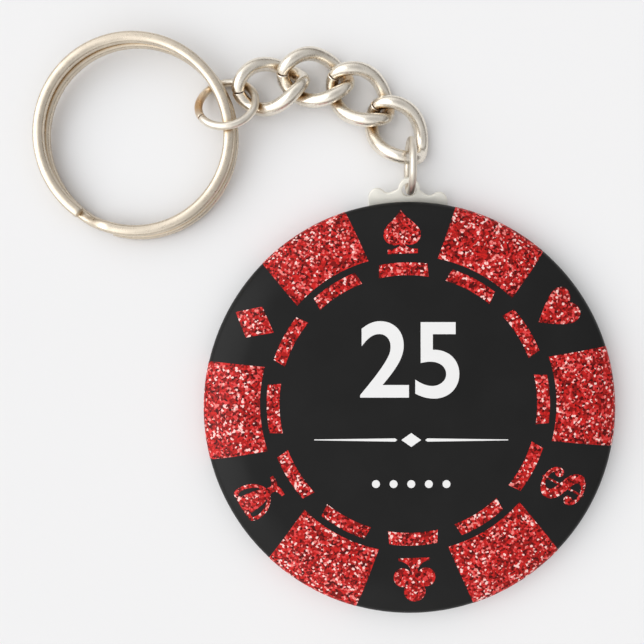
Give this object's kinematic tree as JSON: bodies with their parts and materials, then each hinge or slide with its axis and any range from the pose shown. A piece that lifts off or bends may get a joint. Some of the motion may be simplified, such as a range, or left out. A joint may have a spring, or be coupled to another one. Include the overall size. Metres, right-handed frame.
{
  "type": "poker chip keychain",
  "caption": "Round domed poker chip button on a bent hanger tab, with a short curb chain of oval links and a split key ring, lying flat.",
  "frame": {"origin": "centre of the button's back panel, on the surface that it lies on", "axes": "+Z out of the printed face, +Y from the button's centre towards the hanger tab, the chain curving to -X"},
  "size_m": [0.0808, 0.0804, 0.008],
  "materials": {
    "nickel": "bright nickel plate, lightly worn",
    "tinplate": "plain tinplate, satin",
    "print": "printed black paper with red glitter pattern marks",
    "film": "clear gloss film"
  },
  "bodies": {
    "button": {"back_plate": "tinplate", "front_shell": "tinplate", "printed_disc": "print", "clear_cover": "film", "hanger_tab": "nickel"},
    "tab_ring": {"tab_jump_ring": "nickel"},
    "link_4": {"curb_link_4": "nickel"},
    "link_3": {"curb_link_3": "nickel"},
    "link_2": {"curb_link_2": "nickel"},
    "link_1": {"curb_link_1": "nickel"},
    "ring_link": {"ring_link": "nickel"},
    "key_ring": {"split_ring": "nickel"}
  },
  "joints": [
    {"name": "tab_ring_swing", "type": "hinge", "parent": "button", "child": "tab_ring", "pos_m": [0, 0.03037, 0.00208], "axis": [1, 0, 0], "range_deg": [-36, 30]},
    {"name": "link_4_swing", "type": "hinge", "parent": "tab_ring", "child": "link_4", "pos_m": [0, 0.0356, 0.0017], "axis": [-0.2004, -0.2705, -0.9416], "range_deg": [-18, 60]},
    {"name": "link_3_swing", "type": "hinge", "parent": "link_4", "child": "link_3", "pos_m": [-0.0044, 0.0418, 0.0021], "axis": [-0.1798, -0.5594, -0.8092], "range_deg": [-48, 33]},
    {"name": "link_2_swing", "type": "hinge", "parent": "link_3", "child": "link_2", "pos_m": [-0.0101, 0.0456, 0.0017], "axis": [-0.0298, 0.736, 0.6763], "range_deg": [-24, 30]},
    {"name": "link_1_swing", "type": "hinge", "parent": "link_2", "child": "link_1", "pos_m": [-0.0168, 0.0455, 0.0018], "axis": [0.3196, -0.7791, -0.5394], "range_deg": [-27, 60]},
    {"name": "ring_link_swing", "type": "hinge", "parent": "link_1", "child": "ring_link", "pos_m": [-0.0237, 0.0434, 0.0024], "axis": [-0.3709, 0.5312, 0.7618], "range_deg": [-57, 66]},
    {"name": "key_ring_run", "type": "hinge", "parent": "ring_link", "child": "key_ring", "pos_m": [-0.03804, 0.03767, 0.00225], "axis": [-0.0156, -0.0609, 0.998], "continuous": true}
  ]
}
